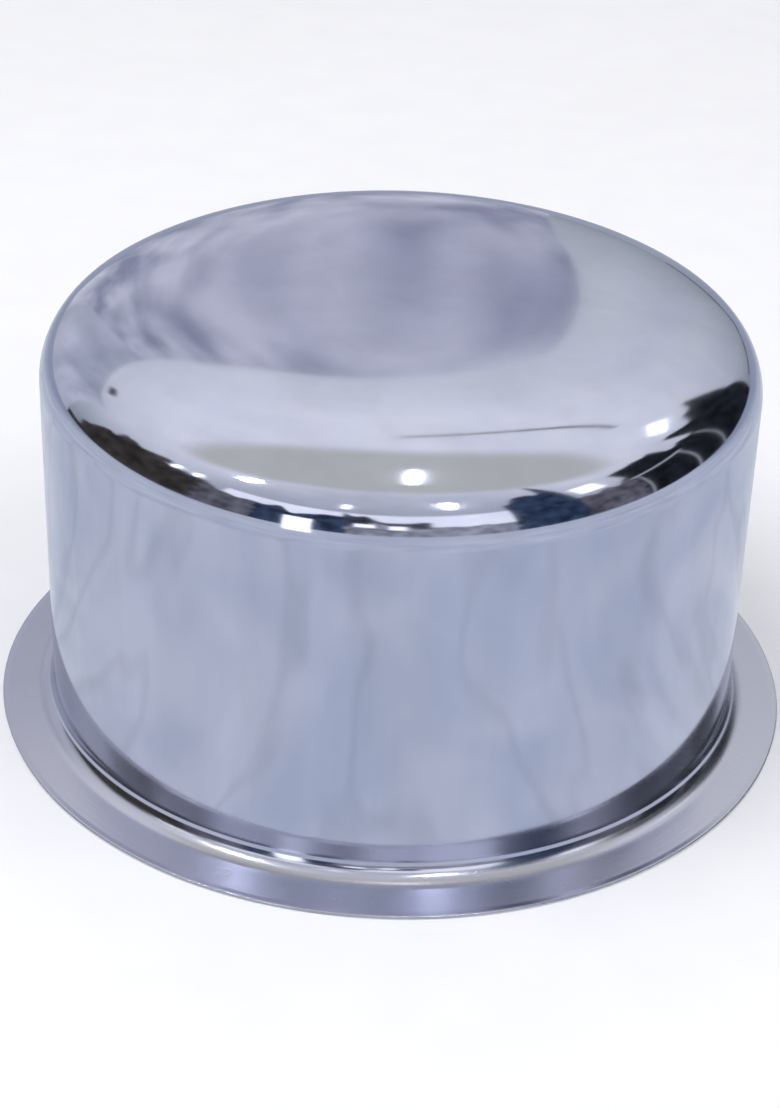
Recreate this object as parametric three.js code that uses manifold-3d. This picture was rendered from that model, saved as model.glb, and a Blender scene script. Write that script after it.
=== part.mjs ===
// A handle-less cooking pot, spun from one sheet of stainless steel, standing upside down on its flat rim.
// The pressed lid that fits its rounded mouth lies under it, right way up, with its knob in the pot.
// Millimetres, +Z up. The origin is the centre of the rim circle, on the surface that the rim stands on.

import * as THREE from "three";
import { mergeVertices } from "three/addons/utils/BufferGeometryUtils.js";
import Module from "manifold-3d";

const wasm = await Module();
wasm.setup();

// Pot: heights are above the rim plane, radii are of the outer face of the sheet
const potSheet = 1;
const potHeight = 152.7;
const wallRadius = 121.5;
const shoulderRadius = 72; // wide curve from the flat of the base towards its edge
const shoulderSlope = THREE.MathUtils.degToRad(33); // where the wide curve meets the tighter one
const baseEdgeRadius = 21.3; // tighter curve from there to the wall
const mouthFillet = 7; // outer face of the bend from the wall to the flange
const flangeWidth = 16.3; // from the wall to the flat lip
const flangeFall = 1.6; // from the flange's root at the wall to the lip
const lipWidth = 2.2; // flat edge of the rim, which the upturned pot stands on
const lipFillet = 1.2;

// Lid: heights are above the surface that it lies on
const lidSheet = 0.8;
const lidClearance = 0.3; // between the lid's edge and the inside of the bend over it
const lidBrim = 14;
const lidRise = 6.5; // top of the raised panel at its edge
const lidRiserSpread = 5;
const lidCrown = 4.5; // further rise of the panel to the flat under the knob
const lidCrownRadius = 600;
const lidBendRadius = 2.4;
const knobSeatRadius = 13;

// Knob, screw and washer
const knobFootRadius = 10;
const knobWaistRadius = 6.2;
const knobHeadRadius = 17;
const knobFootHeight = 3;
const knobWaistHeight = 8;
const knobHeadHeight = 12;
const knobRounding = 2.5;
const screwRadius = 2;
const screwClearance = 0.3; // round the screw in the lid's hole, the washer and the knob's bore
const screwReach = 12; // length of the screw inside the knob
const screwTipGap = 1;
const screwHeadRadius = 4;
const screwHeadHeight = 2.4;
const screwSlotWidth = 1.1;
const screwSlotDepth = 1.2;
const washerRadius = 6;
const washerThickness = 1;

// Facets
const sheetSides = 48;
const knobSides = 32;
const screwSides = 24;
const arcStep = THREE.MathUtils.degToRad(12);

// Base stations: its two curves meet on a line at the shoulder's slope
const shoulderRun = shoulderRadius * Math.tan(shoulderSlope / 2);
const edgeRun = baseEdgeRadius * Math.tan((Math.PI / 2 - shoulderSlope) / 2);
const shoulderCornerRadius = wallRadius - (shoulderRun + edgeRun) * Math.cos(shoulderSlope);
const edgeCornerHeight = potHeight - (shoulderRun + edgeRun) * Math.sin(shoulderSlope);

// Rim stations, from the wall outwards
const flangeRootHeight = potSheet + flangeFall;
const lipStartRadius = wallRadius + flangeWidth;
const rimRadius = lipStartRadius + lipWidth;
const bendTurn = Math.PI / 2 - Math.atan2(flangeFall, flangeWidth);
const bendCentreRadius = wallRadius + mouthFillet;
const bendCentreHeight = flangeRootHeight + mouthFillet * Math.tan(bendTurn / 2);

// Lid stations, from its edge inwards
const lidReach = mouthFillet + potSheet + lidClearance; // from the bend's centre to the lid's edge
const lidRadius = bendCentreRadius - Math.sqrt(lidReach ** 2 - (bendCentreHeight - lidSheet) ** 2);
const lidRiserFoot = lidRadius - lidBrim;
const lidPanelRadius = lidRiserFoot - lidRiserSpread;
const knobSeatHeight = lidRise + lidCrown;

const screwHole = screwRadius + screwClearance;

const polishedSteel = new THREE.MeshStandardMaterial({ color: 0xb9bdd0, roughness: 0.1, metalness: 1 });
const lidSteel = new THREE.MeshStandardMaterial({ color: 0xbdbfcb, roughness: 0.2, metalness: 1 });
const turnedSteel = new THREE.MeshStandardMaterial({ color: 0xc4c6cc, roughness: 0.15, metalness: 1 });
const plainSteel = new THREE.MeshStandardMaterial({ color: 0x9a9ba0, roughness: 0.4, metalness: 1 });

// A point of a profile: distance from the axis, height, and the radius that its corner is rounded to.
function corner(radius, height, rounding = 0) {
  return { at: new THREE.Vector2(radius, height), rounding };
}

// Points along a line of corners, with an arc in place of each rounded one. Arcs may meet end to end.
function rounded(corners) {
  const points = [];
  corners.forEach(({ at, rounding }, i) => {
    if (!rounding || i === 0 || i === corners.length - 1) {
      points.push(at.clone());
      return;
    }
    const before = corners[i - 1].at.clone().sub(at).normalize();
    const after = corners[i + 1].at.clone().sub(at).normalize();
    const half = Math.acos(THREE.MathUtils.clamp(before.dot(after), -1, 1)) / 2;
    const turn = Math.PI - 2 * half;
    const centre = at.clone().add(before.clone().add(after).setLength(rounding / Math.sin(half)));
    const start = at.clone().addScaledVector(before, rounding / Math.tan(half));
    const way = Math.sign(before.cross(after)) * -1;
    const steps = Math.max(2, Math.ceil(turn / arcStep));
    for (let k = 0; k <= steps; k++) {
      points.push(start.clone().rotateAround(centre, (way * turn * k) / steps));
    }
  });
  return points.filter((point, i) => i === 0 || point.distanceTo(points[i - 1]) > 1e-3);
}

// The same line moved sideways by a distance, to the right of the way it runs.
function besides(points, distance) {
  return points.map((point, i) => {
    const back = points[Math.max(i - 1, 0)];
    const ahead = points[Math.min(i + 1, points.length - 1)];
    const arriving = point === back ? ahead.clone().sub(point) : point.clone().sub(back);
    const leaving = point === ahead ? arriving : ahead.clone().sub(point);
    const sideIn = new THREE.Vector2(arriving.y, -arriving.x).normalize();
    const sideOut = new THREE.Vector2(leaving.y, -leaving.x).normalize();
    const middle = sideIn.clone().add(sideOut).normalize();
    return point.clone().addScaledVector(middle, distance / middle.dot(sideOut));
  });
}

// A geometry with its shared vertices merged and its flat triangles at the axis dropped.
function closed(geometry) {
  geometry.deleteAttribute("normal");
  geometry.deleteAttribute("uv");
  const merged = mergeVertices(geometry, 1e-4);
  const kept = [];
  for (let i = 0; i < merged.index.count; i += 3) {
    const [a, b, c] = [0, 1, 2].map((k) => merged.index.getX(i + k));
    if (a !== b && b !== c && c !== a) kept.push(a, b, c);
  }
  return merged.setIndex(kept);
}

// A solid turned about the Z axis from a profile that starts and ends on the axis, or closes on itself.
function turned(profile, sides) {
  return closed(new THREE.LatheGeometry(profile, sides).rotateX(Math.PI / 2));
}

function solidOf(geometry) {
  const { position } = geometry.attributes;
  return new wasm.Manifold(
    new wasm.Mesh({
      numProp: 3,
      vertProperties: new Float32Array(position.array),
      triVerts: new Uint32Array(geometry.index.array),
    }),
  );
}

function geometryOf(solid) {
  const { vertProperties, triVerts } = solid.getMesh();
  return new THREE.BufferGeometry()
    .setAttribute("position", new THREE.BufferAttribute(vertProperties, 3))
    .setIndex(new THREE.BufferAttribute(triVerts, 1));
}

function piece(name, geometry, material) {
  const mesh = new THREE.Mesh(geometry, material);
  mesh.name = name;
  return mesh;
}

// One sheet: flat base with a rounded shoulder, straight wall, bend, gently sloping flange and flat lip.
function potShell() {
  const outside = rounded([
    corner(0, potHeight),
    corner(shoulderCornerRadius, potHeight, shoulderRadius),
    corner(wallRadius, edgeCornerHeight, baseEdgeRadius),
    corner(wallRadius, flangeRootHeight, mouthFillet),
    corner(lipStartRadius, potSheet, lipFillet),
    corner(rimRadius, potSheet),
  ]);
  const inside = besides(outside, potSheet);
  return turned([...inside, ...outside.reverse()], sheetSides);
}

// One pressed sheet: flat brim, sloping riser and a low crowned panel with a holed flat under the knob.
function lidDisc() {
  const top = rounded([
    corner(screwHole, knobSeatHeight),
    corner(knobSeatRadius, knobSeatHeight),
    corner(0.6 * lidPanelRadius, lidRise + 0.75 * lidCrown, lidCrownRadius),
    corner(lidPanelRadius, lidRise, lidBendRadius),
    corner(lidRiserFoot, lidSheet, lidBendRadius),
    corner(lidRadius, lidSheet),
  ]);
  const under = besides(top, lidSheet);
  return turned([...under, ...top.reverse(), under[0].clone()], sheetSides);
}

// A turned knob with a foot, a waist for the fingers and a round head, bored for the screw from below.
function lidKnob() {
  const foot = knobSeatHeight;
  const waist = foot + knobFootHeight;
  const head = waist + knobWaistHeight;
  const top = head + knobHeadHeight;
  const boreEnd = foot + screwReach + screwTipGap;
  return turned(
    rounded([
      corner(0, boreEnd),
      corner(screwHole, boreEnd),
      corner(screwHole, foot),
      corner(knobFootRadius, foot),
      corner(knobFootRadius, waist, knobFootHeight / 2),
      corner(knobWaistRadius, waist, knobRounding / 2),
      corner(knobWaistRadius, head, knobRounding),
      corner(knobHeadRadius, head, knobRounding),
      corner(knobHeadRadius, top, knobHeadHeight - 2 * knobRounding),
      corner(0, top),
    ]),
    knobSides,
  );
}

// A slotted screw that holds the knob from under the lid.
function knobScrew() {
  const washerTop = knobSeatHeight - lidSheet;
  const headTop = washerTop - washerThickness;
  const headFoot = headTop - screwHeadHeight;
  const body = turned(
    rounded([
      corner(0, headFoot),
      corner(screwHeadRadius, headFoot, screwHeadHeight / 2),
      corner(screwHeadRadius, headTop),
      corner(screwRadius, headTop),
      corner(screwRadius, knobSeatHeight + screwReach),
      corner(0, knobSeatHeight + screwReach),
    ]),
    screwSides,
  );
  const slotCutter = new THREE.BoxGeometry(3 * screwHeadRadius, screwSlotWidth, 2 * screwSlotDepth);
  slotCutter.translate(0, 0, headFoot);
  return geometryOf(solidOf(body).subtract(solidOf(closed(slotCutter))));
}

function knobWasher() {
  const top = knobSeatHeight - lidSheet;
  const under = top - washerThickness;
  const section = [
    new THREE.Vector2(screwHole, under),
    new THREE.Vector2(washerRadius, under),
    new THREE.Vector2(washerRadius, top),
    new THREE.Vector2(screwHole, top),
  ];
  return turned([...section, section[0].clone()], screwSides);
}

const pot = new THREE.Group();
pot.add(piece("pot_shell", potShell(), polishedSteel));

const lid = new THREE.Group();
lid.add(piece("lid_disc", lidDisc(), lidSteel));
lid.add(piece("lid_knob", lidKnob(), turnedSteel));
lid.add(piece("knob_screw", knobScrew(), plainSteel));
lid.add(piece("knob_washer", knobWasher(), plainSteel));

const upturnedPot = new THREE.Group();
upturnedPot.add(pot, lid);

export default upturnedPot;
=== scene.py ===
import math

import bmesh
import bpy
from mathutils import Matrix, Vector, noise


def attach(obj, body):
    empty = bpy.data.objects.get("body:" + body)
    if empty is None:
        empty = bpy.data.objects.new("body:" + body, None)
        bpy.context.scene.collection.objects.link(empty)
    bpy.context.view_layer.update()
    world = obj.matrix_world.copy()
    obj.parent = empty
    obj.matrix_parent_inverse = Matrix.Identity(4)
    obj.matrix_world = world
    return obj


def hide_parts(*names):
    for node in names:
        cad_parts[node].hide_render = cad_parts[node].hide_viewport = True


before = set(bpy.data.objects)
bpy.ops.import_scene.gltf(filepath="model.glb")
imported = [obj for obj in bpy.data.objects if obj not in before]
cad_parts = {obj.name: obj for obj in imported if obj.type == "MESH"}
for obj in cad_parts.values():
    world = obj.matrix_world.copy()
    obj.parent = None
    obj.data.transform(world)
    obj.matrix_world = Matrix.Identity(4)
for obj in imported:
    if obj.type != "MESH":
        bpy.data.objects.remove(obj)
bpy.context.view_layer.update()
print("frame loaded:", ", ".join(sorted(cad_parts)))

mm = 0.001


def linear(hexColour):
    channels = [int(hexColour[i:i + 2], 16) / 255 for i in (1, 3, 5)]
    return [c / 12.92 if c <= 0.04045 else ((c + 0.055) / 1.055) ** 2.4 for c in channels] + [1.0]


# adds a node, sets its properties and inputs, and links (node, output) pairs into the named inputs
def addNode(tree, kind, props=None, inputs=None, links=None):
    node = tree.nodes.new(kind)
    for key, value in (props or {}).items():
        setattr(node, key, value)
    for key, value in (inputs or {}).items():
        node.inputs[key].default_value = value
    for key, (source, output) in (links or {}).items():
        tree.links.new(source.outputs[output], node.inputs[key])
    return node


# camera: the photograph looks down on the upturned base from the front, a little rolled
pictureWidth, pictureHeight = 780, 1108
cameraSettings = {
    "sensor": 36.0,                # mm
    "aim": (0.0, 0.0, 63.0),       # mm, a point on the pot's axis
    "elevation": 30.1,             # degrees above the floor
    "distance": 848.0,             # mm from the aim
    "focal": 2413.5,               # pixels of the 780 by 1108 picture
    "roll": 1.84,                  # degrees, the right side hangs lower
    "seenAt": (395.2, 522.9),      # pixel where the aim shows
}


def makeCamera(s):
    rise = math.radians(s["elevation"])
    back = Vector((0, -math.cos(rise), math.sin(rise)))
    right = Vector((1, 0, 0))
    up = back.cross(right)
    aim = Vector(s["aim"]) * mm
    place = aim + back * s["distance"] * mm
    # the picture's middle looks at a point a little below and left of the aim
    perPixel = s["distance"] * mm / s["focal"]
    seenX, seenY = s["seenAt"]
    middle = aim + right * (pictureWidth / 2 - seenX) * perPixel + up * (seenY - pictureHeight / 2) * perPixel
    look = (middle - place).normalized()
    turn = look.to_track_quat("-Z", "Y").to_matrix().to_4x4()
    data = bpy.data.cameras.new("photoCamera")
    data.sensor_width = s["sensor"]
    data.lens = s["sensor"] * s["focal"] / pictureHeight
    camera = bpy.data.objects.new("photoCamera", data)
    roll = Matrix.Rotation(math.radians(s["roll"]), 4, "Z")
    camera.matrix_world = Matrix.Translation(place) @ turn @ roll
    bpy.context.collection.objects.link(camera)
    bpy.context.scene.camera = camera


makeCamera(cameraSettings)
print("camera set")


# points along a line of (radius, height, rounding) corners, with an arc for each rounded one;
# arcs may meet end to end, so a point that repeats the last one is dropped
def roundedLine(corners, step=math.radians(2.5)):
    points = []
    for i, (r, z, rounding) in enumerate(corners):
        at = Vector((r, z))
        if not rounding:
            points.append(at)
            continue
        before = (Vector(corners[i - 1][:2]) - at).normalized()
        after = (Vector(corners[i + 1][:2]) - at).normalized()
        half = math.acos(max(-1, min(1, before.dot(after)))) / 2
        turn = math.pi - 2 * half
        centre = at + (before + after).normalized() * rounding / math.sin(half)
        arm = at + before * rounding / math.tan(half) - centre
        way = -1 if before.x * after.y - before.y * after.x > 0 else 1
        count = max(3, math.ceil(turn / step))
        for k in range(count + 1):
            c, s = math.cos(way * turn * k / count), math.sin(way * turn * k / count)
            points.append(centre + Vector((arm.x * c - arm.y * s, arm.x * s + arm.y * c)))
    return [p for i, p in enumerate(points) if i == 0 or (p - points[i - 1]).length > 1e-3]


# long straight runs get points close to their ends, so that smooth shading stays flat on them
def heldFlat(points, close=0.4, longest=8.0):
    held = [points[0]]
    for a, b in zip(points, points[1:]):
        run = (b - a).length
        if run > 3 * close:
            inner = run - 2 * close
            count = max(1, math.ceil(inner / longest))
            held += [a + (b - a) * (close + inner * k / count) / run for k in range(count + 1)]
        held.append(b)
    return held


# the same line moved to the right of the way it runs
def besides(points, distance):
    moved = []
    for i, point in enumerate(points):
        into = point - points[i - 1] if i else points[1] - point
        out = points[i + 1] - point if i + 1 < len(points) else into
        sideIn, sideOut = (Vector((d.y, -d.x)).normalized() for d in (into, out))
        middle = (sideIn + sideOut).normalized()
        moved.append(point + middle * distance / middle.dot(sideOut))
    return moved


# a half-round edge between the two faces of a sheet, from the upper face to the lower
def roundEdge(radius, lower, thickness, count=8):
    half = thickness / 2
    angles = [math.pi / 2 - math.pi * k / count for k in range(1, count)]
    return [Vector((radius - half + half * math.cos(a), lower + half + half * math.sin(a))) for a in angles]


# Geometry Nodes: turns a profile line about the Z axis, as a spinning lathe does
def makeSpinTree():
    tree = bpy.data.node_groups.new("spunOnLathe", "GeometryNodeTree")
    face = tree.interface
    face.new_socket(name="Profile", in_out="INPUT", socket_type="NodeSocketGeometry")
    face.new_socket(name="Sides", in_out="INPUT", socket_type="NodeSocketInt")
    face.new_socket(name="Rim wave", in_out="INPUT", socket_type="NodeSocketFloat")
    face.new_socket(name="Wave starts", in_out="INPUT", socket_type="NodeSocketFloat")
    face.new_socket(name="Wave full", in_out="INPUT", socket_type="NodeSocketFloat")
    face.new_socket(name="Seed", in_out="INPUT", socket_type="NodeSocketFloat")
    face.new_socket(name="Finish", in_out="INPUT", socket_type="NodeSocketMaterial")
    face.new_socket(name="Mesh", in_out="OUTPUT", socket_type="NodeSocketGeometry")
    given = addNode(tree, "NodeGroupInput")
    count = addNode(tree, "GeometryNodeAttributeDomainSize", links={"Geometry": (given, "Profile")})
    columns = addNode(tree, "ShaderNodeMath", {"operation": "ADD"}, {1: 1.0}, {0: (given, "Sides")})
    # one column of the grid is one copy of the profile
    grid = addNode(tree, "GeometryNodeMeshGrid", links={"Vertices X": (columns, 0),
                                                        "Vertices Y": (count, "Point Count")})
    index = addNode(tree, "GeometryNodeInputIndex")
    ratio = addNode(tree, "ShaderNodeMath", {"operation": "DIVIDE"}, None,
                    {0: (index, 0), 1: (count, "Point Count")})
    column = addNode(tree, "ShaderNodeMath", {"operation": "FLOOR"}, None, {0: (ratio, 0)})
    row = addNode(tree, "ShaderNodeMath", {"operation": "MODULO"}, None,
                  {0: (index, 0), 1: (count, "Point Count")})
    turnShare = addNode(tree, "ShaderNodeMath", {"operation": "DIVIDE"}, None,
                        {0: (column, 0), 1: (given, "Sides")})
    angle = addNode(tree, "ShaderNodeMath", {"operation": "MULTIPLY"}, {1: 2 * math.pi}, {0: (turnShare, 0)})
    place = addNode(tree, "GeometryNodeInputPosition")
    sample = addNode(tree, "GeometryNodeSampleIndex", {"data_type": "FLOAT_VECTOR"}, None,
                     {"Geometry": (given, "Profile"), "Value": (place, 0), "Index": (row, 0)})
    # a rim that stood and slid on its edge for years isn't a true circle
    radius = addNode(tree, "ShaderNodeSeparateXYZ", links={0: (sample, "Value")})
    around = addNode(tree, "ShaderNodeVectorRotate", {"rotation_type": "Z_AXIS"}, {"Vector": (1.0, 0, 0)},
                     {"Angle": (angle, 0)})
    wobble = addNode(tree, "ShaderNodeTexNoise", {"noise_dimensions": "4D"}, {"Scale": 1.3, "Detail": 1.0},
                     {"Vector": (around, 0), "W": (given, "Seed")})
    waveShare = addNode(tree, "ShaderNodeMapRange", {"interpolation_type": "SMOOTHSTEP"}, None,
                        {"Value": (radius, "X"), "From Min": (given, "Wave starts"),
                         "From Max": (given, "Wave full")})
    mostlyInwards = 0.62    # above the noise's middle, so that the rim mostly waves inwards
    centred = addNode(tree, "ShaderNodeMath", {"operation": "SUBTRACT"}, {1: mostlyInwards}, {0: (wobble, 0)})
    size = addNode(tree, "ShaderNodeMath", {"operation": "MULTIPLY"}, None,
                   {0: (centred, 0), 1: (given, "Rim wave")})
    push = addNode(tree, "ShaderNodeMath", {"operation": "MULTIPLY"}, None, {0: (size, 0), 1: (waveShare, 0)})
    waved = addNode(tree, "ShaderNodeMath", {"operation": "ADD"}, None, {0: (radius, "X"), 1: (push, 0)})
    point = addNode(tree, "ShaderNodeCombineXYZ", None, None, {"X": (waved, 0), "Z": (radius, "Z")})
    turned = addNode(tree, "ShaderNodeVectorRotate", {"rotation_type": "Z_AXIS"}, None,
                     {"Vector": (point, 0), "Angle": (angle, 0)})
    moved = addNode(tree, "GeometryNodeSetPosition", None, None,
                    {"Geometry": (grid, "Mesh"), "Position": (turned, 0)})
    merged = addNode(tree, "GeometryNodeMergeByDistance", None, {"Distance": 2e-6}, {"Geometry": (moved, 0)})
    smooth = addNode(tree, "GeometryNodeSetShadeSmooth", None, None, {"Geometry": (merged, 0)})
    real = addNode(tree, "GeometryNodeRealizeInstances", None, None, {"Geometry": (smooth, 0)})
    painted = addNode(tree, "GeometryNodeSetMaterial", None, None,
                      {"Geometry": (real, 0), "Material": (given, "Finish")})
    addNode(tree, "NodeGroupOutput", links={"Mesh": (painted, 0)})
    return tree


spinTree = makeSpinTree()


# runs the lathe tree on a profile in millimetres and leaves a plain, closed mesh
def spin(name, profile, finish, sides, wave=0.0, waveFrom=1.0, waveFull=2.0, seed=0.0):
    mesh = bpy.data.meshes.new(name)
    edges = [(i, i + 1) for i in range(len(profile) - 1)]
    mesh.from_pydata([(p.x * mm, 0, p.y * mm) for p in profile], edges, [])
    piece = bpy.data.objects.new(name, mesh)
    bpy.context.collection.objects.link(piece)
    modifier = piece.modifiers.new("spin", "NODES")
    modifier.node_group = spinTree
    values = {"Sides": sides, "Rim wave": wave * mm, "Wave starts": waveFrom * mm,
              "Wave full": waveFull * mm, "Seed": seed, "Finish": finish}
    for item in spinTree.interface.items_tree:
        if item.in_out == "INPUT" and item.name in values:
            modifier[item.identifier] = values[item.name]
    depsgraph = bpy.context.evaluated_depsgraph_get()
    spun = bpy.data.meshes.new_from_object(piece.evaluated_get(depsgraph))
    piece.modifiers.remove(modifier)
    piece.data = spun
    work = bmesh.new()
    work.from_mesh(spun)
    bmesh.ops.remove_doubles(work, verts=work.verts, dist=1e-6)
    bmesh.ops.recalc_face_normals(work, faces=work.faces)
    if work.calc_volume(signed=True) < 0:
        bmesh.ops.reverse_faces(work, faces=work.faces)
    loose = sum(1 for edge in work.edges if not edge.is_manifold)
    work.to_mesh(spun)
    work.free()
    print("  spun", name, len(spun.polygons), "faces, open edges", loose)
    return piece


# polished stainless steel: sharp reflections with a faint lilac-grey cast, a thin haze, paler and deeper
# streaks painted into its colour, which on the pot's wall are a painted reflection of creased cloth, and a
# greyer, duller flange, brim or waist, where the tool's rings stay
def mirrorSteel(name, s):
    material = bpy.data.materials.new(name)
    material.use_nodes = True
    tree = material.node_tree
    shader = tree.nodes["Principled BSDF"]
    shader.inputs["Metallic"].default_value = 1.0
    coords = addNode(tree, "ShaderNodeTexCoord")
    parts = addNode(tree, "ShaderNodeSeparateXYZ", links={0: (coords, "Object")})
    flat = addNode(tree, "ShaderNodeCombineXYZ", links={"X": (parts, "X"), "Y": (parts, "Y")})
    radius = addNode(tree, "ShaderNodeVectorMath", {"operation": "LENGTH"}, None, {0: (flat, 0)})
    ringPlace = addNode(tree, "ShaderNodeCombineXYZ", links={"X": (radius, "Value"), "Z": (parts, "Z")})
    # the roller's rings are finer than a pixel, so they are drawn as coarse as they need to show
    rings = addNode(tree, "ShaderNodeTexNoise", None,
                    {"Scale": 1 / (s["ringSpacing"] * mm), "Detail": 2.0}, {"Vector": (ringPlace, 0)})
    haze = addNode(tree, "ShaderNodeTexNoise", None,
                   {"Scale": 1 / (s["hazeSize"] * mm), "Detail": 4.0, "Roughness": 0.6},
                   {"Vector": (coords, "Object")})
    # streaks run up and down the wall; on the pot they are a painted reflection of creased cloth, drawn into
    # the colour
    upright = addNode(tree, "ShaderNodeMapping", None, {"Scale": (1.0, 1.0, s["streakDrawn"])},
                      {"Vector": (coords, "Object")})
    reflectionStreaks = addNode(tree, "ShaderNodeTexNoise", None,
                      {"Scale": 1 / (s["streakWidth"] * mm), "Detail": 3.0, "Distortion": 0.4},
                      {"Vector": (upright, 0)})
    swell = addNode(tree, "ShaderNodeTexNoise", None,
                    {"Scale": 1 / (s["swellSize"] * mm), "Detail": 1.0}, {"Vector": (coords, "Object")})
    # the paler tone that the streaks lay on is painted reflection
    reflectionStreakShare = addNode(tree, "ShaderNodeMapRange", None, {"From Min": 0.35, "From Max": 0.65},
                   {"Value": (reflectionStreaks, 0)})
    reflectionStreakTint = addNode(tree, "ShaderNodeMix", {"data_type": "RGBA"}, {6: linear(s["deep"]), 7: linear(s["pale"])},
                   {0: (reflectionStreakShare, 0)})
    buffed = addNode(tree, "ShaderNodeMapRange", None,
                     {"From Min": 0.3, "From Max": 0.7, "To Min": s["sharp"], "To Max": s["hazy"]},
                     {"Value": (haze, 0)})
    outer = addNode(tree, "ShaderNodeMapRange", {"interpolation_type": "SMOOTHSTEP"},
                    {"From Min": s["dullFrom"] * mm, "From Max": s["dullFull"] * mm},
                    {"Value": (radius, "Value")})
    cast = addNode(tree, "ShaderNodeMix", {"data_type": "RGBA"}, {7: linear(s["dullTone"])},
                   {0: (outer, 0), 6: (reflectionStreakTint, 2)})
    tree.links.new(cast.outputs[2], shader.inputs["Base Color"])
    rough = addNode(tree, "ShaderNodeMath", {"operation": "MULTIPLY_ADD"}, {1: s["dull"]},
                    {0: (outer, 0), 2: (buffed, 0)})
    tree.links.new(rough.outputs[0], shader.inputs["Roughness"])
    ringDepth = addNode(tree, "ShaderNodeMapRange", None,
                        {"To Min": s["ringDepth"], "To Max": s["ringDull"]}, {"Value": (outer, 0)})
    ringBump = addNode(tree, "ShaderNodeBump", None, {"Distance": 0.05 * mm},
                       {"Strength": (ringDepth, 0), "Height": (rings, 0)})
    swellBump = addNode(tree, "ShaderNodeBump", None, {"Strength": s["swellDepth"], "Distance": 1.0 * mm},
                        {"Height": (swell, 0), "Normal": (ringBump, 0)})
    tree.links.new(swellBump.outputs[0], shader.inputs["Normal"])
    return material


potSettings = {
    "height": 152.7, "wallRadius": 121.5, "sheet": 1.0,
    "shoulderSlope": 33.0,    # degrees, where the tighter edge takes over
    "crownPower": 4.8,        # how late the base bends
    "crownStations": 60, "baseEdge": 21.3,
    "mouthFillet": 7.0, "flangeWidth": 16.3, "flangeFall": 1.6, "lipWidth": 2.2, "lipFillet": 1.2,
    "rimWave": 1.6, "waveFrom": 6.0, "seed": 4.0, "sides": 256,
    "steel": {"deep": "#c3c7d8", "pale": "#cacee0", "sharp": 0.06, "hazy": 0.11, "dullFrom": 121.3,
              "dullFull": 124.5, "dull": 0.18, "dullTone": "#c2c3d0",
              "ringSpacing": 1.6, "ringDepth": 0.05, "ringDull": 0.5,
              "hazeSize": 45.0, "streakWidth": 22.0, "streakDrawn": 0.12, "swellSize": 60.0,
              "swellDepth": 0.2},
}


def makePot(s):
    finish = mirrorSteel("mirrorBuffedStainless", s["steel"])
    wall, sheet = s["wallRadius"], s["sheet"]
    lipStart = wall + s["flangeWidth"]
    rim = lipStart + s["lipWidth"]
    # the base is almost flat and bends ever faster towards its edge
    slope = math.radians(s["shoulderSlope"])
    crownEnd = wall - s["baseEdge"] * (1 - math.sin(slope))
    crown = [Vector((0, s["height"]))]
    stations = s["crownStations"]
    for k in range(1, stations + 1):
        fall = math.tan(slope * ((k - 0.5) / stations) ** s["crownPower"]) * crownEnd / stations
        crown.append(Vector((crownEnd * k / stations, crown[-1].y - fall)))
    edgeRun = s["baseEdge"] * math.tan((math.pi / 2 - slope) / 2)
    outside = crown[:-1] + heldFlat(roundedLine([
        (crown[-1].x, crown[-1].y, 0),
        (wall, crown[-1].y - edgeRun * math.sin(slope), s["baseEdge"]),
        (wall, sheet + s["flangeFall"], s["mouthFillet"]),
        (lipStart, sheet, s["lipFillet"]),
        (rim - sheet / 2, sheet, 0),
    ]))
    print("  base edge starts at", round(crown[-1].y, 2), "mm")
    inside = besides(outside, sheet)
    profile = outside + roundEdge(rim, 0, sheet) + inside[::-1]
    pot = spin("potShell", profile, finish, s["sides"], s["rimWave"], wall + s["waveFrom"], rim, s["seed"])
    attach(pot, "pot")
    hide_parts("pot_shell")


makePot(potSettings)
print("pot spun")


lidSettings = {
    "radius": 126.91, "sheet": 0.8, "brim": 14.0, "rise": 6.5, "riserSpread": 5.0, "crown": 4.5,
    "crownRadius": 600.0, "crownAt": 0.6, "crownShare": 0.75, "bend": 2.4, "knobSeat": 13.0, "hole": 2.3,
    "sides": 192,
    "steel": {"deep": "#adb0bf", "pale": "#b8bbc9", "sharp": 0.07, "hazy": 0.14, "dullFrom": 108.0,
              "dullFull": 114.0, "dull": 0.08, "dullTone": "#b6b7bf",
              "ringSpacing": 1.6, "ringDepth": 0.1, "ringDull": 0.3,
              "hazeSize": 40.0, "streakWidth": 18.0, "streakDrawn": 0.4, "swellSize": 50.0,
              "swellDepth": 0.1},
}


def makeLid(s):
    finish = mirrorSteel("polishedStainlessLid", s["steel"])
    foot = s["radius"] - s["brim"]
    panel = foot - s["riserSpread"]
    seat = s["rise"] + s["crown"]
    top = heldFlat(roundedLine([
        (s["hole"], seat, 0),
        (s["knobSeat"], seat, 0),
        (s["crownAt"] * panel, s["rise"] + s["crownShare"] * s["crown"], s["crownRadius"]),
        (panel, s["rise"], s["bend"]),
        (foot, s["sheet"], s["bend"]),
        (s["radius"] - s["sheet"] / 2, s["sheet"], 0),
    ]))
    under = besides(top, s["sheet"])
    profile = top + roundEdge(s["radius"], 0, s["sheet"]) + under[::-1] + [top[0].copy()]
    lid = spin("lidDisc", profile, finish, s["sides"])
    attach(lid, "lid")
    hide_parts("lid_disc")


makeLid(lidSettings)


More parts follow.
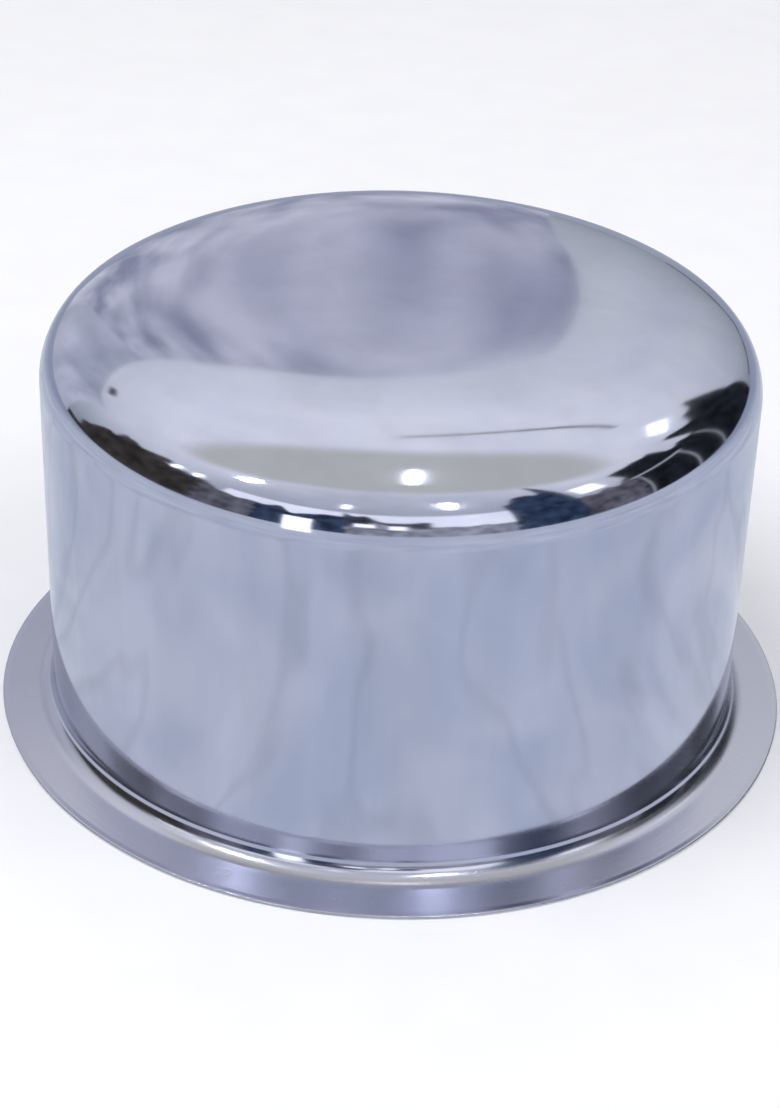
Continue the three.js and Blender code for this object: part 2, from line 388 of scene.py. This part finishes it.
knobSettings = {
    "seat": 11.0, "footRadius": 10.0, "waistRadius": 6.2, "headRadius": 17.0, "footHeight": 3.0,
    "waistHeight": 8.0, "headHeight": 12.0, "rounding": 2.5, "bore": 2.3, "boreDepth": 13.0,
    "sides": 96,
    "steel": {"deep": "#b2b4be", "pale": "#bec0c9", "sharp": 0.08, "hazy": 0.16, "dullFrom": 8.0,
              "dullFull": 5.0, "dull": 0.1, "dullTone": "#b4b5ba",
              "ringSpacing": 0.7, "ringDepth": 0.15, "ringDull": 0.4,
              "hazeSize": 12.0, "streakWidth": 6.0, "streakDrawn": 0.3, "swellSize": 20.0,
              "swellDepth": 0.02},
}


def makeKnob(s):
    finish = mirrorSteel("turnedStainlessKnob", s["steel"])
    waist = s["seat"] + s["footHeight"]
    head = waist + s["waistHeight"]
    top = head + s["headHeight"]
    profile = heldFlat(roundedLine([
        (0, s["seat"] + s["boreDepth"], 0),
        (s["bore"], s["seat"] + s["boreDepth"], 0),
        (s["bore"], s["seat"], 0),
        (s["footRadius"], s["seat"], 0),
        (s["footRadius"], waist, s["footHeight"] / 2),
        (s["waistRadius"], waist, s["rounding"] / 2),
        (s["waistRadius"], head, s["rounding"]),
        (s["headRadius"], head, s["rounding"]),
        (s["headRadius"], top, s["headHeight"] - 2 * s["rounding"]),
        (0, top, 0),
    ]), close=0.2, longest=3.0)
    knob = spin("lidKnob", profile, finish, s["sides"])
    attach(knob, "lid")
    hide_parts("lid_knob")


makeKnob(knobSettings)
print("lid and knob spun")


fixingSettings = {
    "steel": {"deep": "#8f9096", "pale": "#a2a3a8", "sharp": 0.25, "hazy": 0.4, "dullFrom": 1.5,
              "dullFull": 4.5, "dull": 0.08, "dullTone": "#96979b",
              "ringSpacing": 0.5, "ringDepth": 0.2, "ringDull": 0.3,
              "hazeSize": 4.0, "streakWidth": 2.0, "streakDrawn": 0.5, "swellSize": 8.0,
              "swellDepth": 0.02},
}


def finishFixings(s):
    finish = mirrorSteel("plainSteelFixing", s["steel"])
    for node in ("knob_screw", "knob_washer"):
        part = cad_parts[node]
        part.data.materials.clear()
        part.data.materials.append(finish)


finishFixings(fixingSettings)
print("screw and washer finished")


# studio: a pale floor, soft lights, and plain cards in a pale dome that only reflections see, so that the
# polish has something to mirror
floorSettings = {"size": 8.0, "drop": 0.3, "low": "#eeeef1", "high": "#f4f4f6", "speckle": 30.0}


def makeFloor(s):
    mesh = bpy.data.meshes.new("floor")
    half = s["size"] / 2
    corners = [(-half, -half, 0), (half, -half, 0), (half, half, 0), (-half, half, 0)]
    mesh.from_pydata(corners, [], [(0, 1, 2, 3)])
    floor = bpy.data.objects.new("floor", mesh)
    floor.location.z = -s["drop"] * mm
    bpy.context.collection.objects.link(floor)
    material = bpy.data.materials.new("paleFloor")
    material.use_nodes = True
    tree = material.node_tree
    shader = tree.nodes["Principled BSDF"]
    shader.inputs["Roughness"].default_value = 0.9
    coords = addNode(tree, "ShaderNodeTexCoord")
    grain = addNode(tree, "ShaderNodeTexNoise", None, {"Scale": 1 / (s["speckle"] * mm)},
                    {"Vector": (coords, "Object")})
    tone = addNode(tree, "ShaderNodeMix", {"data_type": "RGBA"}, {6: linear(s["low"]), 7: linear(s["high"])},
                   {0: (grain, 0)})
    tree.links.new(tone.outputs[2], shader.inputs["Base Color"])
    mesh.materials.append(material)


makeFloor(floorSettings)


# a glowing sheet that reflections see, and neither the camera nor the floor
def addGlow(name, verts, faces, tones, glow, blotch=160, lean=0):
    mesh = bpy.data.meshes.new(name)
    mesh.from_pydata(verts, [], faces)
    sheet = bpy.data.objects.new(name, mesh)
    bpy.context.collection.objects.link(sheet)
    sheet.visible_camera = False
    sheet.visible_diffuse = False
    sheet.visible_shadow = False
    material = bpy.data.materials.new(name + "Glow")
    material.use_nodes = True
    tree = material.node_tree
    tree.nodes.clear()
    coords = addNode(tree, "ShaderNodeTexCoord")
    drawn = addNode(tree, "ShaderNodeMapping", None,
                    {"Rotation": (0, math.radians(lean), 0), "Scale": (1, 1, 0.3)},
                    {"Vector": (coords, "Object")})
    patches = addNode(tree, "ShaderNodeTexNoise", None, {"Scale": 1 / (blotch * mm), "Detail": 3.0},
                      {"Vector": (drawn, 0)})
    spread = addNode(tree, "ShaderNodeMapRange", None, {"From Min": 0.35, "From Max": 0.65},
                     {"Value": (patches, 0)})
    tone = addNode(tree, "ShaderNodeMix", {"data_type": "RGBA"}, {6: linear(tones[0]), 7: linear(tones[1])},
                   {0: (spread, 0)})
    shine = addNode(tree, "ShaderNodeEmission", None, {"Strength": glow}, {"Color": (tone, 2)})
    addNode(tree, "ShaderNodeOutputMaterial", links={"Surface": (shine, 0)})
    mesh.materials.append(material)
    return tree


# a point at a distance from the pot's edge: azimuth 0 is the camera's side, and right of it is positive
def away(azimuth, elevation, distance, level=0.13):
    a, e = math.radians(azimuth), math.radians(elevation)
    direction = Vector((math.sin(a) * math.cos(e), -math.cos(a) * math.cos(e), math.sin(e)))
    return direction * distance + Vector((0, 0, level))


# each card stands on a line between two (azimuth, elevation) ends and is so many degrees high, or as high as
# each of several even stations along it; a rough card has an uneven top
dark, grey, navy, black, white, lilac = (
    ("#2f2c29", "#544e48"), ("#55535a", "#8e8b94"), ("#222e46", "#4a5c79"), ("#15171b", "#2c3036"),
    ("#f4f5ff", "#ffffff"), ("#a9adc3", "#f5f5ff"))
ground = -2.4    # elevation of the floor at the cards' distance, seen from the pot's edge
cardSettings = {
    "lowLineLeft": {"ends": ((-122, ground), (-105, ground)), "height": 3.6, "tones": dark},
    "darkLeftStart": {"ends": ((-109, ground), (-97, ground)), "height": (10, 28),
                      "tones": dark, "rough": 0.3},
    "darkLeft": {"ends": ((-98, ground), (-61, ground)), "height": (33, 34),
                 "tones": dark, "rough": 0.2},
    "greyLeft": {"ends": ((-62, ground), (-41, ground)), "height": (32, 23),
                 "tones": grey, "rough": 0.3},
    "navyLeft": {"ends": ((-42, ground), (-14, ground)), "height": (23, 22),
                 "tones": navy, "rough": 0.35},
    "whiteLow": {"ends": ((-31, -8), (-23, -8)), "height": 20,
                 "tones": white, "glow": 2.0, "distance": 0.95},
    "darkFront": {"ends": ((-16, 7), (10, 4)), "height": (21, 16),
                  "tones": ("#24262e", "#4f5260"), "rough": 0.45},
    "paleFront": {"ends": ((-54, 12), (40, 12)), "height": 18,
                  "tones": white, "glow": 1.3, "distance": 3.2},
    "greyFront": {"ends": ((-15, ground), (36, ground)), "height": (19, 11),
                  "tones": ("#85868f", "#d0d1da"), "rough": 0.5},
    "navyRight": {"ends": ((35, ground), (57, ground)), "height": (40, 58),
                  "tones": navy, "rough": 0.25},
    "greyRight": {"ends": ((57, ground), (78, ground)), "height": 29.4, "tones": grey, "rough": 0.2},
    "tallRight": {"ends": ((77, ground), (101, ground)), "height": 43.4, "tones": black, "rough": 0.05},
    "darkRight": {"ends": ((101, ground), (114, ground)), "height": 33.4, "tones": black, "rough": 0.2},
    "tallFarRight": {"ends": ((113, ground), (136, ground)), "height": (41.4, 37.4),
                     "tones": black, "rough": 0.12},
    "levelLine": {"ends": ((77, 25), (101, 25)), "height": 1.6,
                  "tones": white, "glow": 0.6, "distance": 2.9},
    "uprightLineA": {"ends": ((79, ground), (80, ground)), "height": 27.4,
                     "tones": white, "glow": 0.5, "distance": 2.9},
    "uprightLineB": {"ends": ((99, ground), (100, ground)), "height": 27.4,
                     "tones": white, "glow": 0.5, "distance": 2.9},
    "uprightLineC": {"ends": ((112, ground), (113, ground)), "height": 30.4,
                     "tones": white, "glow": 0.5, "distance": 2.9},
    "lowLineRight": {"ends": ((140, -1), (165, -1)), "height": 1.5, "tones": grey},
    "thinStreak": {"ends": ((136, 50), (160, 55.7)), "height": 1.2, "tones": ("#6b6f63", "#93958c")},
    "thinStreakEnd": {"ends": ((160, 55.7), (180, 60.5)), "height": 1.3,
                      "tones": ("#a2a496", "#c4c5ba")},
    "smallDark": {"ends": ((-132.5, 34.6), (-128.5, 34)), "height": 2.0, "tones": black, "rough": 0.5},
    "patchedBack": {"ends": ((173, ground), (207, ground)), "height": (31.9, 36, 38.4, 38),
                    "tones": lilac, "blotch": 210, "lean": 62},
    "patchedLeft": {"ends": ((207, ground), (243, ground)), "height": (38, 33),
                    "tones": ("#c0c5d2", "#eceefa"), "blotch": 600},
    "glareRight": {"ends": ((60, 30), (69, 30)), "height": 10, "tones": white, "glow": 2.4},
    "glareFarRight": {"ends": ((121, 41), (130, 41)), "height": 4.5, "tones": white, "glow": 2.6},
    "spotLeft": {"ends": ((-75.7, 27), (-73.8, 28)), "height": 5,
                 "tones": white, "glow": 6, "distance": 2.9},
    "spotLeftInner": {"ends": ((-67.2, 28), (-65.4, 29)), "height": 5,
                      "tones": white, "glow": 6, "distance": 2.9},
    "stripLeft": {"ends": ((-57.6, 46), (-55.8, 46)), "height": 6, "tones": white, "glow": 110},
    "spotFrontLeft": {"ends": ((-17.6, 36), (-15.4, 36)), "height": 6,
                      "tones": white, "glow": 5, "distance": 2.9},
    "spotFrontA": {"ends": ((-12, 10), (-6, 10)), "height": 5,
                   "tones": white, "glow": 2, "distance": 2.9},
    "spotFrontB": {"ends": ((-2, 8), (3, 8)), "height": 6, "tones": white, "glow": 2, "distance": 2.9},
    "stripFront": {"ends": ((17.4, 41), (18.6, 41)), "height": 8, "tones": white, "glow": 70},
}


# degrees between the columns and the rows of a card, and how fast and how apart the uneven tops run
cardGrid = {"column": 1.5, "row": 10, "ripple": 0.17, "apart": 3.7, "slice": 0.5}


def makeCards(cards, g):
    for order, (name, s) in enumerate(cards.items()):
        (azFrom, elFrom), (azTo, elTo) = s["ends"]
        heights = s["height"] if isinstance(s["height"], tuple) else (s["height"], s["height"])
        spans = len(heights) - 1
        columns = max(2, math.ceil(abs(azTo - azFrom) / g["column"]))
        rows = max(1, math.ceil(max(heights) / g["row"]))
        verts, faces = [], []
        for i in range(columns + 1):
            share = i / columns
            azimuth = azFrom + (azTo - azFrom) * share
            uneven = s.get("rough", 0) * noise.noise((azimuth * g["ripple"], order * g["apart"], g["slice"]))
            span = min(int(share * spans), spans - 1)
            within = share * spans - span
            tall = (heights[span] + (heights[span + 1] - heights[span]) * within) * (1 + uneven)
            for k in range(rows + 1):
                lift = elFrom + (elTo - elFrom) * share + tall * k / rows
                verts.append(away(azimuth, lift, s.get("distance", 3.0)))
        for i in range(columns):
            for k in range(rows):
                a = i * (rows + 1) + k
                faces.append((a, a + 1, a + rows + 2, a + rows + 1))
        drawing = {key: s[key] for key in ("blotch", "lean") if key in s}
        addGlow(name, verts, faces, s["tones"], s.get("glow", 0.82), **drawing)


makeCards(cardSettings, cardGrid)


# what the wall mirrors: a pale sheet with soft patches and faint lines, round the pot
sheetSettings = {"half": 3.0, "level": -0.2, "tones": ("#d9e1f0", "#f1f4fd"), "glow": 0.84,
                 "around": 2.0, "outwards": 12.0,    # patches in a radian round the pot, and in a metre
                 "lines": 2.2, "lineDrift": 2.4, "lineWidth": 0.045, "lineTone": 0.905,
                 "behind": "#b2b9cd", "behindFrom": 0.12, "behindFull": 0.7}


def makeSheet(s):
    half, level = s["half"], s["level"] * mm
    corners = [(-half, -half, level), (half, -half, level), (half, half, level), (-half, half, level)]
    tree = addGlow("paleSheet", corners, [(0, 1, 2, 3)], s["tones"], s["glow"])
    # patches are wide round the pot, because the wall's curve mirrors them narrower
    place = addNode(tree, "ShaderNodeTexCoord")
    reach = addNode(tree, "ShaderNodeVectorMath", {"operation": "LENGTH"}, None, {0: (place, "Object")})
    outwards = addNode(tree, "ShaderNodeVectorMath", {"operation": "NORMALIZE"}, None, {0: (place, "Object")})
    turn = addNode(tree, "ShaderNodeSeparateXYZ", links={0: (outwards, 0)})
    spread = addNode(tree, "ShaderNodeMath", {"operation": "MULTIPLY"}, {1: s["outwards"] / s["around"]},
                     {0: (reach, "Value")})
    wide = addNode(tree, "ShaderNodeCombineXYZ", links={"X": (turn, "X"), "Y": (turn, "Y"), "Z": (spread, 0)})
    patches = tree.nodes["Noise Texture"]
    patches.inputs["Scale"].default_value = s["around"]
    patches.inputs["Detail"].default_value = 4.0
    patches.inputs["Distortion"].default_value = 0.5
    tree.links.new(wide.outputs[0], patches.inputs["Vector"])
    # a few faint lines run outwards, a little askew, where a noise passes its middle
    drift = addNode(tree, "ShaderNodeMath", {"operation": "MULTIPLY"}, {1: s["lineDrift"]},
                    {0: (reach, "Value")})
    along = addNode(tree, "ShaderNodeCombineXYZ", links={"X": (turn, "X"), "Y": (turn, "Y"), "Z": (drift, 0)})
    field = addNode(tree, "ShaderNodeTexNoise", None, {"Scale": s["lines"], "Detail": 2.0},
                    {"Vector": (along, 0)})
    side = addNode(tree, "ShaderNodeMath", {"operation": "SUBTRACT"}, {1: 0.5}, {0: (field, 0)})
    apart = addNode(tree, "ShaderNodeMath", {"operation": "ABSOLUTE"}, None, {0: (side, 0)})
    clear = addNode(tree, "ShaderNodeMapRange", {"interpolation_type": "SMOOTHSTEP"},
                    {"From Max": s["lineWidth"], "To Min": s["lineTone"] * s["glow"], "To Max": s["glow"]},
                    {"Value": (apart, 0)})
    tree.links.new(clear.outputs[0], tree.nodes["Emission"].inputs["Strength"])
    # it gets darker behind the pot
    back = addNode(tree, "ShaderNodeSeparateXYZ", links={0: (place, "Object")})
    isBehind = addNode(tree, "ShaderNodeMapRange", {"interpolation_type": "SMOOTHSTEP"},
                       {"From Min": s["behindFrom"], "From Max": s["behindFull"]}, {"Value": (back, "Y")})
    shine = tree.nodes["Emission"]
    nearTone = shine.inputs["Color"].links[0].from_node
    graded = addNode(tree, "ShaderNodeMix", {"data_type": "RGBA"}, {7: linear(s["behind"])},
                     {0: (isBehind, 0), 6: (nearTone, 2)})
    tree.links.new(graded.outputs[2], shine.inputs["Color"])


makeSheet(sheetSettings)


# the dome behind the cards is brighter round its wall than at its top, which is a long oval across the view
domeSettings = {"distance": 3.6, "sides": 48, "rows": 16, "foot": -2.0, "span": 91.5, "blotch": 600,
                "wall": ("#f6f7fd", "#ffffff"), "glow": 1.04, "low": "#959da3", "lowTo": 52.0,
                "front": "#dadce1", "frontFrom": -0.1, "frontFull": -0.6,
                "top": "#d4d3ca", "topReach": 19.0, "topSoft": (4, -3), "topLong": 0.44, "topLean": -2.0}


def makeDome(s):
    sides, rows = s["sides"], s["rows"]
    verts = [away(360 * i / sides, s["foot"] + s["span"] * k / rows, s["distance"])
             for i in range(sides) for k in range(rows + 1)]
    faces = []
    for i in range(sides):
        for k in range(rows):
            a, b = i * (rows + 1) + k, (i + 1) % sides * (rows + 1) + k
            faces.append((a, a + 1, b + 1, b))
    tree = addGlow("paleDome", verts, faces, s["wall"], s["glow"], s["blotch"])
    place = addNode(tree, "ShaderNodeTexCoord")
    outwards = addNode(tree, "ShaderNodeVectorMath", {"operation": "NORMALIZE"}, None, {0: (place, "Object")})
    lift = addNode(tree, "ShaderNodeSeparateXYZ", links={0: (outwards, 0)})
    isWall = addNode(tree, "ShaderNodeMapRange", None, {"From Max": math.sin(math.radians(s["lowTo"]))},
                     {"Value": (lift, "Z")})
    oval = addNode(tree, "ShaderNodeMapping", None,
                   {"Rotation": (math.radians(s["topLean"]), 0, 0), "Scale": (s["topLong"], 1, 1)},
                   {"Vector": (place, "Object")})
    inwards = addNode(tree, "ShaderNodeVectorMath", {"operation": "NORMALIZE"}, None, {0: (oval, 0)})
    height = addNode(tree, "ShaderNodeSeparateXYZ", links={0: (inwards, 0)})
    edge = [math.cos(math.radians(s["topReach"] + d)) for d in s["topSoft"]]
    isTop = addNode(tree, "ShaderNodeMapRange", {"interpolation_type": "SMOOTHSTEP"},
                    {"From Min": edge[0], "From Max": edge[1]}, {"Value": (height, "Z")})
    shine = tree.nodes["Emission"]
    wallTone = shine.inputs["Color"].links[0].from_node
    graded = addNode(tree, "ShaderNodeMix", {"data_type": "RGBA"}, {6: linear(s["low"])},
                     {0: (isWall, 0), 7: (wallTone, 2)})
    # it is a little darker behind the camera
    isFront = addNode(tree, "ShaderNodeMapRange", {"interpolation_type": "SMOOTHSTEP"},
                      {"From Min": s["frontFrom"], "From Max": s["frontFull"]}, {"Value": (lift, "Y")})
    dimmed = addNode(tree, "ShaderNodeMix", {"data_type": "RGBA", "blend_type": "MULTIPLY"},
                     {7: linear(s["front"])}, {0: (isFront, 0), 6: (graded, 2)})
    tone = addNode(tree, "ShaderNodeMix", {"data_type": "RGBA"}, {7: linear(s["top"])},
                   {0: (isTop, 0), 6: (dimmed, 2)})
    tree.links.new(tone.outputs[2], shine.inputs["Color"])


makeDome(domeSettings)


# a bright oval overhead, longer towards the camera than across
overheadSettings = {"at": (0.12, -0.1, 3.0), "across": 0.05, "along": 0.32, "sides": 32,
                    "tones": white, "glow": 9.0, "blotch": 400}


def makeOverhead(s):
    x, y, z = s["at"]
    turns = [2 * math.pi * k / s["sides"] for k in range(s["sides"])]
    verts = [(x + s["across"] * math.cos(a), y + s["along"] * math.sin(a), z) for a in turns]
    addGlow("overheadPanel", verts, [tuple(range(s["sides"]))], s["tones"], s["glow"], s["blotch"])


makeOverhead(overheadSettings)


lightSettings = {
    "world": "#f2f2f5", "worldStrength": 0.72, "aim": (0, 0, 0.05),
    "key": {"at": (-0.9, -0.5, 2.0), "size": 1.6, "power": 22.0},
    "fill": {"at": (1.2, -0.6, 1.6), "size": 1.4, "power": 9.0},
}


def makeLights(s):
    world = bpy.data.worlds.new("paleRoom")
    world.use_nodes = True
    backdrop = world.node_tree.nodes["Background"]
    backdrop.inputs["Color"].default_value = linear(s["world"])
    backdrop.inputs["Strength"].default_value = s["worldStrength"]
    bpy.context.scene.world = world
    for name in ("key", "fill"):
        light = s[name]
        data = bpy.data.lights.new(name, "AREA")
        data.shape = "DISK"
        data.size = light["size"]
        data.energy = light["power"]
        lamp = bpy.data.objects.new(name, data)
        lamp.location = light["at"]
        towards = Vector(s["aim"]) - Vector(light["at"])
        lamp.rotation_euler = towards.to_track_quat("-Z", "Y").to_euler()
        lamp.visible_glossy = False
        bpy.context.collection.objects.link(lamp)
    bpy.context.scene.view_settings.view_transform = "Standard"


makeLights(lightSettings)
print("studio set")
